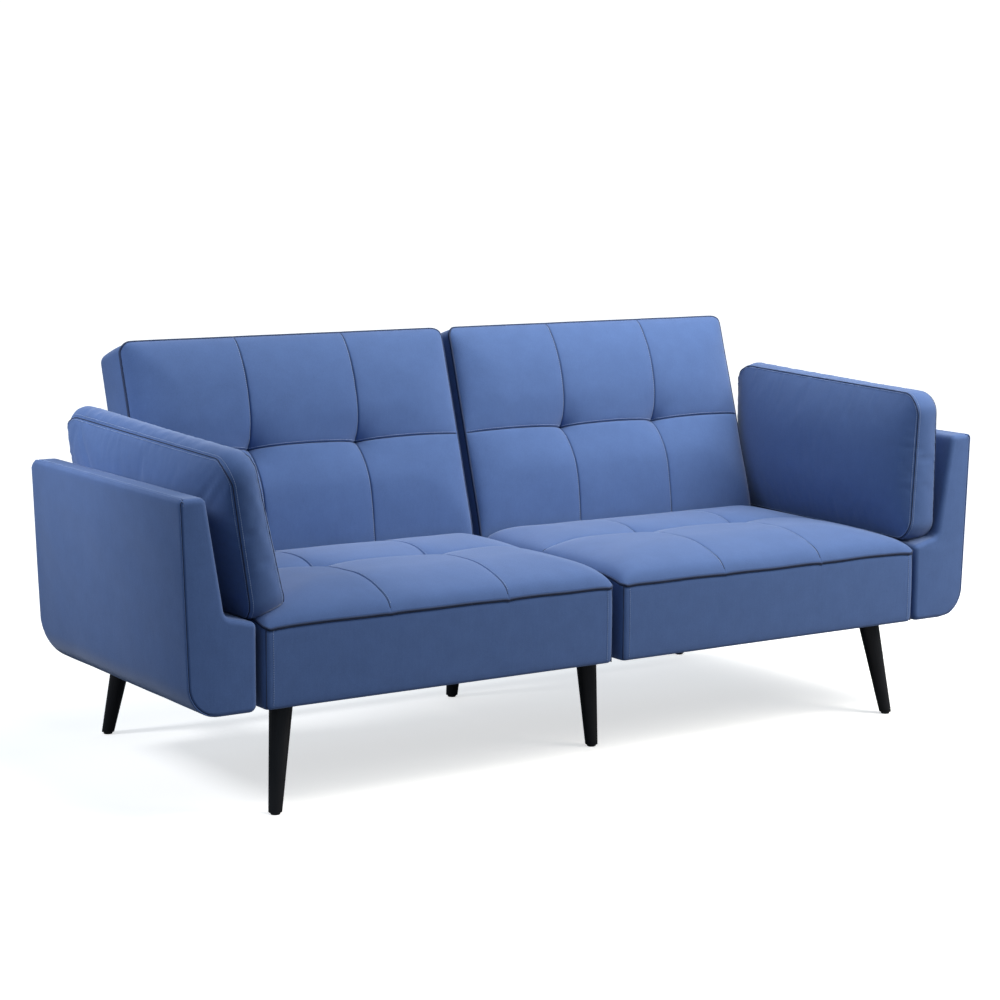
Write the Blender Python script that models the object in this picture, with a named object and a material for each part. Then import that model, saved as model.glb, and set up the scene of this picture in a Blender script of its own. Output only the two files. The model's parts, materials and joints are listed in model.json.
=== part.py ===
"""Click-clack sofa bed: two seat boxes on a steel base frame, two folding backs, two fixed
arms, six splayed legs and two loose arm pillows. Metres, +Z up, origin on the floor under
the middle of the sofa. +X runs along the sofa to the sitter's left, +Y to the rear."""

from math import cos, pi, radians, sin, sqrt, tan

import bmesh
import bpy
from mathutils import Vector

# Overall
WIDTH = 2.060
DEPTH = 0.846
FRONT = -DEPTH / 2
TOUCH = 0.0003  # the gap that touching pieces keep

# Seat
SEAT_HALF_WIDTH = 0.8527
SEAT_HALF_GAP = 0.0115
SEAT_BOTTOM = 0.2260
SEAT_BOX_TOP = 0.3350
SEAT_EDGE = 0.3897
BOARD = 0.018
# The crowned top of a seat cushion: distance from the front, height at its sides, rise to its middle
SEAT_CROWN = [
    (0.5435, 0.4120, 0.002),
    (0.5200, 0.4140, 0.014),
    (0.4700, 0.4140, 0.030),
    (0.4000, 0.4120, 0.038),
    (0.1600, 0.4080, 0.042),
    (0.0900, 0.4040, 0.036),
    (0.0400, 0.4000, 0.020),
    (0.0120, 0.3960, 0.008),
    (0.0000, SEAT_EDGE, 0.000),
]
# Distance from a cushion's inner or outer end, and the share of the crown's rise reached there
SEAT_INNER_RISE = [(0.0, 0.0), (0.012, 0.30), (0.030, 0.50), (0.060, 0.75), (0.100, 0.92), (0.150, 1.0)]
SEAT_OUTER_RISE = [
    (0.0, 0.0), (0.012, 0.12), (0.030, 0.20), (0.075, 0.28), (0.110, 0.60), (0.170, 0.88), (0.240, 1.0),
]
BOX_INSET = 0.0040

# Base frame of steel tube
RAIL_BOTTOM = 0.2260
RAIL_TOP = 0.2460
RAIL_WIDTH = 0.040
SIDE_RAIL_OUTER = 0.8250
FRONT_RAIL_Y = FRONT + 0.075
REAR_RAIL_Y = FRONT + 0.800
CENTRE_RAIL_X = 0.028
CENTRE_RAIL_WIDTH = 0.076

# Legs: feet on the floor, tops on the plates
LEG_TOP_RADIUS = 0.0245
LEG_FOOT_RADIUS = 0.0140
GLIDE_RADIUS = 0.0100
GLIDE_HEIGHT = 0.0047
LEG_FOOT_X = 0.8120
FRONT_FOOT_Y = FRONT + 0.0405
REAR_FOOT_Y = FRONT + 0.8320
MID_FOOT_X = 0.0430
MID_FRONT_FOOT_Y = FRONT + 0.1545
MID_REAR_FOOT_Y = FRONT + 0.7320
SPLAY = 0.033
MID_SPLAY = 0.028
PLATE_SIZE = 0.070
PLATE_THICKNESS = 0.0030

# Arms
ARM_INNER = 0.8650
ARM_STEP_X = 0.9326
ARM_FOOT_OUTER = 1.0137
ARM_PANEL_TOP = 0.0578
ARM_TOP = 0.6516
ARM_BOTTOM = 0.2195
ARM_STEP_Z = 0.4140
ARM_BLOCK_Z = 0.3980
ARM_FRONT = FRONT + 0.0080
ARM_REAR = FRONT + 0.7200
ARM_REAR_BOTTOM_RADIUS = 0.045
ARM_REAR_TOP_RADIUS = 0.020
BOLT_RADIUS = 0.0040
BOLT_Z = 0.300
BOLT_YS = {"front": FRONT + 0.120, "rear": FRONT + 0.400}

# Folding backs, in the hinge's own axes: front distance is towards the sitter, up is along the slope
RECLINE = radians(17.36)
BACK_HALF_WIDTH = 0.8209
BACK_HALF_GAP = 0.0124
HINGE_Y = FRONT + 0.6347
HINGE_Z = 0.3200
HINGE_TO_FACE = 0.1000
BACK_THICKNESS = 0.1238
BACK_BELOW = 0.0850
BACK_ABOVE = 0.5688
BACK_REAR_BELOW = 0.0300
BACK_BOARD = 0.0150
BACK_EDGE_RADIUS = 0.030
BACK_CORNER = 0.035  # the top corners, seen from the front
# The crowned face of a back: height up the slope and bulge, then its share reached from each end
BACK_CROWN = [
    (0.10, 0.0), (0.16, 0.012), (0.22, 0.028), (0.30, 0.020), (0.38, 0.026), (0.46, 0.031), (0.52, 0.022),
]
BACK_INNER_RISE = [
    (0.0, 0.25), (0.004, 0.30), (0.012, 0.40), (0.035, 0.60), (0.070, 0.80), (0.120, 0.95), (0.180, 1.0),
]
BACK_OUTER_RISE = [
    (0.0, 0.0), (0.004, 0.05), (0.012, 0.15), (0.035, 0.40), (0.070, 0.70), (0.120, 0.92), (0.180, 1.0),
]

# Hinges
PIN_RADIUS = 0.0050
HOLE_RADIUS = 0.0051
BRACKET_THICKNESS = 0.0030
PIN_SEGMENTS = 32

# Arm pillows
PILLOW_LENGTH = 0.643
PILLOW_HEIGHT = 0.328
PILLOW_BAND = 0.066
PILLOW_OUTER_BULGE = 0.012
PILLOW_INNER_BULGE = 0.024
PILLOW_FRONT = FRONT + 0.022
PILLOW_FOOT_Z = 0.4250
PILLOW_CORNER = 0.048
PILLOW_REAR_LEAN = radians(4)
PILLOW_REAR_RISE = 0.011  # its top climbs to the rear by this much on either side of its middle
# Each pillow's foot from the middle of the sofa, its lean towards the arm and its turn in plan
PILLOW_POSES = {
    "left": (0.8490, radians(12.0), radians(3.7)),
    "right": (0.8936, radians(0.5), radians(-0.6)),
}

BLUE = (0.071, 0.127, 0.328)
BLACK = (0.012, 0.013, 0.017)
SIDES = {"left": -1, "right": 1}


def clear_scene():
    for found in list(bpy.data.objects):
        bpy.data.objects.remove(found)


def make_material(name, colour, roughness, metallic=0.0):
    found = bpy.data.materials.get(name)
    if found:
        return found
    made = bpy.data.materials.new(name)
    made.use_nodes = True
    shader = made.node_tree.nodes["Principled BSDF"]
    shader.inputs["Base Color"].default_value = (*colour, 1)
    shader.inputs["Roughness"].default_value = roughness
    shader.inputs["Metallic"].default_value = metallic
    return made


def fabric():
    return make_material("blue_fabric", BLUE, 0.85)


def black_wood():
    return make_material("black_wood", BLACK, 0.45)


def plywood():
    return make_material("plywood", (0.48, 0.33, 0.18), 0.7)


def black_steel():
    return make_material("black_steel", (0.02, 0.02, 0.022), 0.5, 0.6)


def zinc_steel():
    return make_material("zinc_steel", (0.55, 0.56, 0.58), 0.35, 1.0)


def black_plastic():
    return make_material("black_plastic", (0.015, 0.015, 0.016), 0.5)


def dust_cloth():
    return make_material("dust_cloth", (0.02, 0.02, 0.022), 0.95)


def add_object(name, mesh, material, parent=None):
    made = bpy.data.objects.new(name, mesh)
    mesh.materials.append(material)
    bpy.context.scene.collection.objects.link(made)
    made.parent = parent
    return made


def mesh_from(build, name):
    work = bmesh.new()
    build(work)
    bmesh.ops.recalc_face_normals(work, faces=work.faces)
    mesh = bpy.data.meshes.new(name)
    work.to_mesh(mesh)
    work.free()
    return mesh


def box(name, low, high, material, parent=None, bevel=0.0):
    """A box between two corners, with its edges cut back by bevel."""

    def build(work):
        bmesh.ops.create_cube(work, size=1.0)
        for vert in work.verts:
            vert.co = [a + (b - a) * (c + 0.5) for a, b, c in zip(low, high, vert.co)]
        if bevel:
            bmesh.ops.bevel(work, geom=work.edges[:], offset=bevel, segments=2, affect="EDGES", profile=0.5)

    return add_object(name, mesh_from(build, name), material, parent)


def prism(name, outline, start, end, along, material, parent=None):
    """An outline extruded from start to end along X or Y. Along X its points are (y, z), along Y (x, z)."""

    def place(point, level):
        return (level, point[0], point[1]) if along == "X" else (point[0], level, point[1])

    def build(work):
        ends = [[work.verts.new(place(p, level)) for p in outline] for level in (start, end)]
        for ring in ends:
            work.faces.new(ring)
        for i in range(len(outline)):
            j = (i + 1) % len(outline)
            work.faces.new((ends[0][i], ends[0][j], ends[1][j], ends[1][i]))

    return add_object(name, mesh_from(build, name), material, parent)


def loft(name, sections, material, parent=None):
    """A solid through outlines with the same number of points. sections is a list of (x, outline)."""

    def build(work):
        rings = [[work.verts.new((x, *p)) for p in outline] for x, outline in sections]
        work.faces.new(rings[0])
        work.faces.new(rings[-1])
        count = len(rings[0])
        for lower, upper in zip(rings, rings[1:]):
            for i in range(count):
                j = (i + 1) % count
                work.faces.new((lower[i], lower[j], upper[j], upper[i]))

    made = add_object(name, mesh_from(build, name), material, parent)
    smooth(made)
    return made


def stations(inner, outer, inner_rise, outer_rise):
    """Places along a cushion, as (x, distance to its nearer end, share of its crown's rise)."""
    near = [(inner + distance, distance, share) for distance, share in inner_rise]
    far = [(outer - distance, distance, share) for distance, share in outer_rise]
    return near + far[::-1]


def turned(name, profile, centre, material, along="X", segments=PIN_SEGMENTS, parent=None):
    """A solid turned about an axis through centre: profile is a list of (distance along, radius)."""

    def place(distance, radius, angle):
        across = (radius * cos(angle), radius * sin(angle))
        local = (distance, *across) if along == "X" else (*across, distance)
        return Vector(centre) + Vector(local)

    def build(work):
        turns = [2 * pi * k / segments for k in range(segments)]
        rings = [[work.verts.new(place(d, r, t)) for t in turns] for d, r in profile]
        work.faces.new(rings[0])
        work.faces.new(rings[-1])
        for lower, upper in zip(rings, rings[1:]):
            for i in range(segments):
                j = (i + 1) % segments
                work.faces.new((lower[i], lower[j], upper[j], upper[i]))

    made = add_object(name, mesh_from(build, name), material, parent)
    smooth(made)
    return made


def smooth(made):
    made.data.shade_smooth()
    made.data.set_sharp_from_angle(angle=radians(40))


def rounded(corners, steps=5):
    """The outline through corners (u, v, radius) with each corner turned into an arc."""
    outline = []
    for k, (u, v, radius) in enumerate(corners):
        corner = Vector((u, v))
        before = (Vector(corners[k - 1][:2]) - corner).normalized()
        after = (Vector(corners[(k + 1) % len(corners)][:2]) - corner).normalized()
        if radius == 0:
            outline.append(tuple(corner))
            continue
        half = before.angle(after) / 2
        middle = corner + (before + after).normalized() * (radius / sin(half))
        first = corner + before * (radius * cos(half) / sin(half)) - middle
        last = corner + after * (radius * cos(half) / sin(half)) - middle
        turn = first.angle_signed(last)
        for step in range(steps + 1):
            angle = -turn * step / steps
            x = first.x * cos(angle) - first.y * sin(angle)
            y = first.x * sin(angle) + first.y * cos(angle)
            outline.append((middle.x + x, middle.y + y))
    return outline


def cut(target, cutter, operation="DIFFERENCE"):
    cutter.hide_render = True
    cutter.display_type = "WIRE"
    modifier = target.modifiers.new("cut_" + cutter.name, "BOOLEAN")
    modifier.operation = operation
    modifier.object = cutter


def build_frame():
    end = SIDE_RAIL_OUTER
    half = RAIL_WIDTH / 2
    for name, y in (("front", FRONT_RAIL_Y), ("rear", REAR_RAIL_Y)):
        low = (-end, y - half, RAIL_BOTTOM)
        high = (end, y + half, RAIL_TOP)
        box(f"frame_{name}_rail", low, high, black_steel(), bevel=0.002)
    start = FRONT_RAIL_Y + half + TOUCH
    stop = REAR_RAIL_Y - half - TOUCH
    centre_low = CENTRE_RAIL_X - CENTRE_RAIL_WIDTH / 2
    rails = {
        "side_rail_left": (-end, -end + RAIL_WIDTH),
        "side_rail_right": (end - RAIL_WIDTH, end),
        "centre_rail": (centre_low, centre_low + CENTRE_RAIL_WIDTH),
    }
    for name, (x0, x1) in rails.items():
        box(f"frame_{name}", (x0, start, RAIL_BOTTOM), (x1, stop, RAIL_TOP), black_steel(), bevel=0.002)


def leg_places():
    """Each leg's foot and top as (x, y) pairs."""
    places = {}
    for side, sign in SIDES.items():
        foot_x = sign * LEG_FOOT_X
        top_x = foot_x - sign * SPLAY
        places[f"front_{side}"] = ((foot_x, FRONT_FOOT_Y), (top_x, FRONT_FOOT_Y + SPLAY))
        places[f"rear_{side}"] = ((foot_x, REAR_FOOT_Y), (top_x, REAR_FOOT_Y - SPLAY))
    for end, y, lean in (("front", MID_FRONT_FOOT_Y, MID_SPLAY), ("rear", MID_REAR_FOOT_Y, -MID_SPLAY)):
        places[f"{end}_middle"] = ((MID_FOOT_X, y), (MID_FOOT_X, y + lean))
    return places


def build_leg(name, foot, top):
    plate_top = RAIL_BOTTOM - TOUCH
    plate_bottom = plate_top - PLATE_THICKNESS
    half = PLATE_SIZE / 2
    low = (top[0] - half, top[1] - half, plate_bottom)
    high = (top[0] + half, top[1] + half, plate_top)
    box(f"leg_plate_{name}", low, high, zinc_steel())
    leg_top = plate_bottom - TOUCH
    leg_bottom = GLIDE_HEIGHT + TOUCH
    profile = [(leg_bottom, LEG_FOOT_RADIUS), (leg_top, LEG_TOP_RADIUS)]
    leg = turned(f"leg_{name}", profile, (0, 0, 0), black_wood(), along="Z", segments=24)
    for vert in leg.data.vertices:
        share = (vert.co.z - leg_bottom) / (leg_top - leg_bottom)
        vert.co.x += foot[0] + (top[0] - foot[0]) * share
        vert.co.y += foot[1] + (top[1] - foot[1]) * share
    glide = [(0.0, GLIDE_RADIUS - 0.001), (0.001, GLIDE_RADIUS), (GLIDE_HEIGHT, GLIDE_RADIUS)]
    turned(f"glide_{name}", glide, (foot[0], foot[1], 0), black_plastic(), along="Z", segments=20)


def seat_rear_profile():
    """The rear face of a seat cushion, from its bottom up: it stays ahead of the turning back."""
    return [
        (FRONT + 0.508, SEAT_BOX_TOP + TOUCH),
        (FRONT + 0.512, 0.350),
        (FRONT + 0.519, 0.370),
        (FRONT + 0.531, 0.390),
        (FRONT + 0.5435, 0.406),
    ]


def build_seat_cushion(side, sign):
    """A seat's foam and cover: upright sides, and a top that rises to the middle from all round."""
    sections = []
    for x, _, share in stations(SEAT_HALF_GAP, SEAT_HALF_WIDTH, SEAT_INNER_RISE, SEAT_OUTER_RISE):
        crown = [(FRONT + y, height + rise * share) for y, height, rise in SEAT_CROWN]
        sections.append((sign * x, seat_rear_profile() + crown + [(FRONT, SEAT_BOX_TOP + TOUCH)]))
    loft(f"seat_cushion_{side}", sections, fabric())


def build_seat_box(side, sign):
    inner = SEAT_HALF_GAP + BOX_INSET
    outer = SEAT_HALF_WIDTH - BOX_INSET
    front = FRONT + 0.008
    rear = FRONT + 0.505
    xs = sorted((sign * inner, sign * outer))
    made = box(f"seat_box_{side}", (xs[0], front, SEAT_BOTTOM), (xs[1], rear, SEAT_BOX_TOP), plywood())
    low = (xs[0] + BOARD, front + BOARD, SEAT_BOTTOM - 0.05)
    high = (xs[1] - BOARD, rear - BOARD, SEAT_BOX_TOP + 0.05)
    cut(made, box(f"cutter_inside_{side}", low, high, plywood()))
    notch_xs = sorted((sign * (inner - 0.02), sign * (outer - BOARD)))
    notch_low = (notch_xs[0], front + BOARD, SEAT_BOTTOM - 0.02)
    notch_high = (notch_xs[1], rear + 0.02, RAIL_TOP + TOUCH)
    cut(made, box(f"cutter_rails_{side}", notch_low, notch_high, plywood()))
    return made


def build_springs(side, sign, count=3):
    """Zigzag wire springs from the front board to the rear board of a seat box."""
    radius = 0.0018
    start = FRONT + 0.008 + BOARD + radius + TOUCH
    end = FRONT + 0.505 - BOARD - radius - TOUCH
    waves = 7
    per_wave = 8
    swing = 0.024
    height = SEAT_BOX_TOP - radius - 0.002
    for number in range(count):
        middle = SEAT_HALF_GAP + (SEAT_HALF_WIDTH - SEAT_HALF_GAP) * (number + 0.5) / count
        total = waves * per_wave
        curve = bpy.data.curves.new(f"seat_spring_{side}_{number + 1}", "CURVE")
        curve.dimensions = "3D"
        curve.bevel_depth = radius
        curve.bevel_resolution = 1
        curve.use_fill_caps = True
        spline = curve.splines.new("POLY")
        spline.points.add(total)
        for k in range(total + 1):
            x = sign * middle + swing * sin(2 * pi * k / per_wave)
            y = start + (end - start) * k / total
            spline.points[k].co = (x, y, height, 1)
        add_object(f"seat_spring_{side}_{number + 1}", curve, zinc_steel())


def build_dust_cover(side, sign):
    inner = SEAT_HALF_GAP + BOX_INSET + BOARD + TOUCH
    outer = SEAT_HALF_WIDTH - BOX_INSET - BOARD - TOUCH
    xs = sorted((sign * inner, sign * outer))
    low = (xs[0], FRONT + 0.008 + BOARD + TOUCH, RAIL_TOP + 0.0015)
    high = (xs[1], FRONT + 0.505 - BOARD - TOUCH, RAIL_TOP + 0.0035)
    box(f"dust_cover_{side}", low, high, dust_cloth())


def arm_outline(sign):
    """The arm's outline seen from the front: a leaning panel on a block that meets the seat."""
    top_outer = WIDTH / 2
    corners = [
        (ARM_INNER, ARM_BOTTOM, 0.015),
        (ARM_FOOT_OUTER, ARM_BOTTOM, 0.070),
        (top_outer, ARM_TOP, 0.008),
        (top_outer - ARM_PANEL_TOP, ARM_TOP, 0.012),
        (ARM_STEP_X, ARM_STEP_Z, 0.020),
        (ARM_INNER, ARM_BLOCK_Z, 0.008),
    ]
    return [(sign * x, z) for x, z in rounded(corners)]


def build_arm(side, sign, box_object):
    arm = prism(f"arm_{side}", arm_outline(sign), ARM_FRONT, ARM_REAR, "Y", fabric())
    lift = ARM_BOTTOM - 0.01
    side_view = rounded([
        (ARM_FRONT - 0.01, lift, 0.0),
        (ARM_REAR, ARM_BOTTOM, ARM_REAR_BOTTOM_RADIUS),
        (ARM_REAR, ARM_TOP, ARM_REAR_TOP_RADIUS),
        (ARM_FRONT - 0.01, ARM_TOP + 0.0001, 0.0),
    ])
    span = sorted((sign * 0.8, sign * 1.1))
    cut(arm, prism(f"cutter_arm_side_{side}", side_view, *span, "X", fabric()), "INTERSECT")
    for end, y in BOLT_YS.items():
        place = (0, y, BOLT_Z)
        head_inner = SEAT_HALF_WIDTH - BOX_INSET - BOARD - TOUCH
        stop = ARM_INNER + 0.035
        profile = [
            (sign * (head_inner - 0.005), 0.009),
            (sign * head_inner, 0.009),
            (sign * head_inner, BOLT_RADIUS),
            (sign * stop, BOLT_RADIUS),
        ]
        turned(f"arm_bolt_{side}_{end}", profile, place, zinc_steel(), segments=16)
        bore = [(sign * 0.80, BOLT_RADIUS + 0.0004), (sign * (stop + 0.001), BOLT_RADIUS + 0.0004)]
        cutter = turned(f"cutter_bolt_{side}_{end}", bore, place, zinc_steel(), segments=16)
        cut(arm, cutter)
        cut(box_object, cutter)


def arc(centre, radius, first, last, steps):
    angles = [first + (last - first) * k / steps for k in range(steps + 1)]
    return [(centre[0] + radius * cos(a), centre[1] + radius * sin(a)) for a in angles]


def pin_hole(target, centre, start, end, parent=None):
    bore = [(start, HOLE_RADIUS), (end, HOLE_RADIUS)]
    cutter = turned(f"cutter_{target.name}", bore, centre, zinc_steel(), parent=parent)
    cut(target, cutter)


def build_fixed_plate(name, x0, x1, foot):
    """A hinge plate that stands on the base frame and holds the pin of a back."""
    pivot = (HINGE_Y, HINGE_Z)
    outline = arc(pivot, 0.026, radians(-20), radians(200), 16)
    outline += [(HINGE_Y - 0.048, foot + 0.012), (HINGE_Y - 0.048, foot)]
    outline += [(HINGE_Y + 0.092, foot), (HINGE_Y + 0.092, foot + 0.012)]
    plate = prism(name, outline, x0, x1, "X", black_steel())
    pin_hole(plate, (0, *pivot), x0 - 0.01, x1 + 0.01)


def build_hinges():
    outer = SIDE_RAIL_OUTER + TOUCH
    for side, sign in SIDES.items():
        foot = RAIL_BOTTOM + 0.002
        span = sorted((sign * outer, sign * (outer + BRACKET_THICKNESS)))
        build_fixed_plate(f"hinge_plate_{side}", *span, foot)
        head = outer + BRACKET_THICKNESS + TOUCH
        tip = BACK_HALF_WIDTH + TOUCH
        profile = [(tip, PIN_RADIUS), (head, PIN_RADIUS), (head, 0.008), (head + 0.003, 0.008)]
        centre = (0, HINGE_Y, HINGE_Z)
        turned(f"hinge_pin_{side}_outer", [(sign * d, r) for d, r in profile], centre, zinc_steel())
        shoulder = [(0.0002, 0.0033, PIN_RADIUS), (0.0033, 0.0088, 0.008), (0.0088, 0.0121, PIN_RADIUS)]
        stub = [(sign * d, radius) for start, end, radius in shoulder for d in (start, end)]
        turned(f"hinge_pin_{side}_inner", stub, centre, zinc_steel())
    build_fixed_plate("hinge_plate_centre", -0.003, 0.003, RAIL_TOP + TOUCH)


def back_outline(front, rear, trim, drop, share):
    """A back's outline from the side, in its hinge's axes, between two distances from the hinge.
    trim keeps it inside the cushion's outline, drop lowers its top, share scales the face's crown."""
    slope = (BACK_BELOW - BACK_REAR_BELOW) / (BACK_THICKNESS - BACK_EDGE_RADIUS)
    knee = HINGE_TO_FACE - BACK_EDGE_RADIUS
    top = BACK_ABOVE - trim - drop

    def bottom(distance):
        return -BACK_BELOW + max(0.0, knee - distance) * slope + trim

    if front != HINGE_TO_FACE:
        return [(-front, top), (-front, bottom(front)), (-rear, bottom(rear)), (-rear, top)]
    face = [(-front - bulge * share, height, 0.0) for height, bulge in reversed(BACK_CROWN)]
    corners = [(-front, top, 0.008), *face]
    corners += [(-front, bottom(front), BACK_EDGE_RADIUS - 0.001), (-knee, bottom(knee), 0.0)]
    corners += [(-rear, bottom(rear), 0.0), (-rear, top, 0.0)]
    return rounded(corners)


def corner_drop(distance, radius):
    """How far a rounded top corner lies below the top, at a distance from its end."""
    inside = max(0.0, radius - distance)
    return radius - sqrt(radius**2 - inside**2)


def build_back(side, sign):
    """One folding back: foam cushion, plywood board, rear cover and a hinge bracket at each end."""
    hinge = bpy.data.objects.new(f"back_hinge_{side}", None)
    bpy.context.scene.collection.objects.link(hinge)
    hinge.location = (0, HINGE_Y, HINGE_Z)
    hinge.rotation_euler = (-RECLINE, 0, 0)
    board_front = -TOUCH
    board_rear = board_front - BACK_BOARD
    rear_face = HINGE_TO_FACE - BACK_THICKNESS
    layers = {
        "cushion": (HINGE_TO_FACE, 0.0, 0.0, fabric()),
        "board": (board_front, board_rear, 0.006, plywood()),
        "cover": (board_rear - TOUCH, rear_face, 0.0, fabric()),
    }
    for part, (front, rear, trim, material) in layers.items():
        places = stations(BACK_HALF_GAP + trim, BACK_HALF_WIDTH - trim, BACK_INNER_RISE, BACK_OUTER_RISE)
        sections = [
            (sign * x, back_outline(front, rear, trim, corner_drop(distance, BACK_CORNER - trim), share))
            for x, distance, share in places
        ]
        loft(f"back_{part}_{side}", sections, material, hinge)
    brackets = {
        "outer": (BACK_HALF_WIDTH + TOUCH, BACK_HALF_WIDTH + TOUCH + BRACKET_THICKNESS),
        "inner": (BACK_HALF_GAP - TOUCH - BRACKET_THICKNESS, BACK_HALF_GAP - TOUCH),
    }
    for end, (x0, x1) in brackets.items():
        outline = arc((0, 0), 0.022, radians(180), radians(360), 12)
        outline += arc((-0.010, 0.110), 0.016, radians(0), radians(180), 10)
        xs = sorted((sign * x0, sign * x1))
        bracket = prism(f"back_bracket_{side}_{end}", outline, *xs, "X", black_steel(), hinge)
        pin_hole(bracket, (0, 0, 0), xs[0] - 0.002, xs[1] + 0.002, hinge)


def pillow_outline(steps=4):
    """The pillow's outline seen from the seat, as (along, up) from its middle."""
    u = PILLOW_LENGTH / 2
    v = PILLOW_HEIGHT / 2
    slant = v * tan(PILLOW_REAR_LEAN)
    rise = PILLOW_REAR_RISE
    corners = [(-u, -v), (u - slant, -v), (u + slant, v + rise), (-u, v - rise)]
    return rounded([(*corner, PILLOW_CORNER) for corner in corners], steps)


def build_pillow(side, sign):
    """A loose box pillow: a flat band all round and two crowned faces, leaning on the arm."""

    def build(work):
        outline = pillow_outline()
        shares = (1.0, 0.90, 0.72, 0.45, 0.2)

        def ring(share, face, bulge):
            lift = PILLOW_BAND / 2 + bulge * (1 - share**4)
            return [work.verts.new((face * lift, u * share, v * share)) for u, v in outline]

        inward = [ring(s, -sign, PILLOW_INNER_BULGE) for s in shares]
        outward = [ring(s, sign, PILLOW_OUTER_BULGE) for s in shares]
        rings = list(reversed(inward)) + outward
        count = len(outline)
        for lower, upper in zip(rings, rings[1:]):
            for i in range(count):
                j = (i + 1) % count
                work.faces.new((lower[i], lower[j], upper[j], upper[i]))
        work.faces.new(rings[0])
        work.faces.new(rings[-1])

    name = f"arm_pillow_{side}"
    pillow = add_object(name, mesh_from(build, name), fabric())
    foot_x, lean, turn = PILLOW_POSES[side]
    middle_height = PILLOW_HEIGHT / 2
    pillow.rotation_euler = (0, sign * lean, -sign * turn)
    pillow.location = (
        sign * (foot_x + middle_height * sin(lean)),
        PILLOW_FRONT + PILLOW_LENGTH / 2,
        PILLOW_FOOT_Z + middle_height * cos(lean),
    )
    smooth(pillow)


def build_sofa():
    clear_scene()
    build_frame()
    for name, (foot, top) in leg_places().items():
        build_leg(name, foot, top)
    for side, sign in SIDES.items():
        build_seat_cushion(side, sign)
        seat_box = build_seat_box(side, sign)
        build_springs(side, sign)
        build_dust_cover(side, sign)
        build_arm(side, sign, seat_box)
        build_back(side, sign)
        build_pillow(side, sign)
    build_hinges()


build_sofa()
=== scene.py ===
"""A blue click-clack sofa bed: its upholstery, seams and surroundings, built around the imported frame."""

import json
from math import cos, pi, radians, sin, tan

import bmesh
import bpy
import numpy as np
from mathutils import Matrix, Vector
from mathutils.bvhtree import BVHTree
from mathutils.geometry import tessellate_polygon


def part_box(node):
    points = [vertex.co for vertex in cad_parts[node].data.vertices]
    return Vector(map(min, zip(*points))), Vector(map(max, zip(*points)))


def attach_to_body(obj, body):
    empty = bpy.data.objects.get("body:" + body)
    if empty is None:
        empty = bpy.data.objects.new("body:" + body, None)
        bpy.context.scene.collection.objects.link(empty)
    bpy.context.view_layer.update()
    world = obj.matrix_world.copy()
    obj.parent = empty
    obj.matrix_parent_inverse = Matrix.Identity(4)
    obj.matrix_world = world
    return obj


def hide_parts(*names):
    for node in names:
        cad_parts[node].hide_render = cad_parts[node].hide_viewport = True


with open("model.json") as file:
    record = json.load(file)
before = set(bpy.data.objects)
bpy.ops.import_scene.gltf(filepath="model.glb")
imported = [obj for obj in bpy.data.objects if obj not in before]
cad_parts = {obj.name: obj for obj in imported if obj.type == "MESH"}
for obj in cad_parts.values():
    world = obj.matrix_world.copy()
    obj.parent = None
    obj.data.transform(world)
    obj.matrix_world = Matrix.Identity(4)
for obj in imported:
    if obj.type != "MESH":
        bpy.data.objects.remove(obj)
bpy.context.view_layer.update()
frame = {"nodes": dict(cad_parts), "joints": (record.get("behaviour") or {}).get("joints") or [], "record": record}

SIDES = {"left": -1, "right": 1}

# Places taken from the frame
SEAT_LOW, SEAT_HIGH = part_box("seat_cushion_right")
ARM_LOW, ARM_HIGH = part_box("arm_right")
FRONT = SEAT_LOW.y
SEAT_DEPTH = SEAT_HIGH.y - SEAT_LOW.y
HINGE_Y, HINGE_Z = next(j["pos_m"][1:] for j in frame["joints"] if j["name"] == "back_left_fold")

# Upholstery. Cords and threads are given by their radius
SEAT_PIPING = 0.0019
BACK_PIPING = 0.0027
CORNER_WELT = 0.0014
PIPING_DEPTH = 0.0012  # from a panel's edge in to the middle of its piping
PIPING_OUT = 0.0004  # how far the piping stands out sideways
SHADE_GAP = 0.0010  # between a piping and the painted shade line under it
SEAT_SHADE = 0.0012
BACK_SHADE = 0.0018
# The dark cords along the seams are painted shade: they stand for the shade in each seam's groove
SHADE_LINE_RADIUS = 0.0008
PILLOW_SHADE_LINE_RADIUS = 0.0011
SEAM_LIFT = 0.0003  # how far a seam's painted-shade cord stands out of its groove
CORD_STEP = 0.006
THREAD = 0.00070
STITCH_PITCH = 0.0046
STITCH_LENGTH = 0.0034
STITCH_SIDE = 0.0034  # from a seam to the stitches beside it
BOXING_START = 0.002  # how far under the panel's edge its boxing starts
SEAM_LINES = (0.0, 0.0008, 0.0018, 0.0036, 0.0070)  # grid lines on either side of a seam
EDGE_LINES = (0.0, 0.0012, 0.0030, 0.0065, 0.0120)  # grid lines beside a panel's edge
GRID_STEP = 0.0095

# Seats
SEAT_EDGE_Z = 0.3900
SEAT_CROWN_Z = 0.4520
SEAT_SKIRT_Z = 0.2224
SEAT_CORNER = 0.014
SEAT_CROSS_SEAM = 0.310  # from the front edge
SEAT_SEAM_END = 0.035  # piping and seams stop this far before the seat's rear edge, under the back
SEAT_SEAMS = {"left": (0.283, 0.567), "right": (0.290, 0.567)}
# How far forward the boxing's rear leans, as (height, distance)
SEAT_REAR_LEAN = [(0.2224, 0.042), (0.3350, 0.036), (0.3700, 0.024), (0.3900, 0.012), (0.4100, 0.0)]
SEAT_TUFTS = [(0.018, 0.032)]  # depth, reach
SEAT_VALLEY = (0.006, 0.045)  # depth and reach of the hollow along the cross seam

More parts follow.
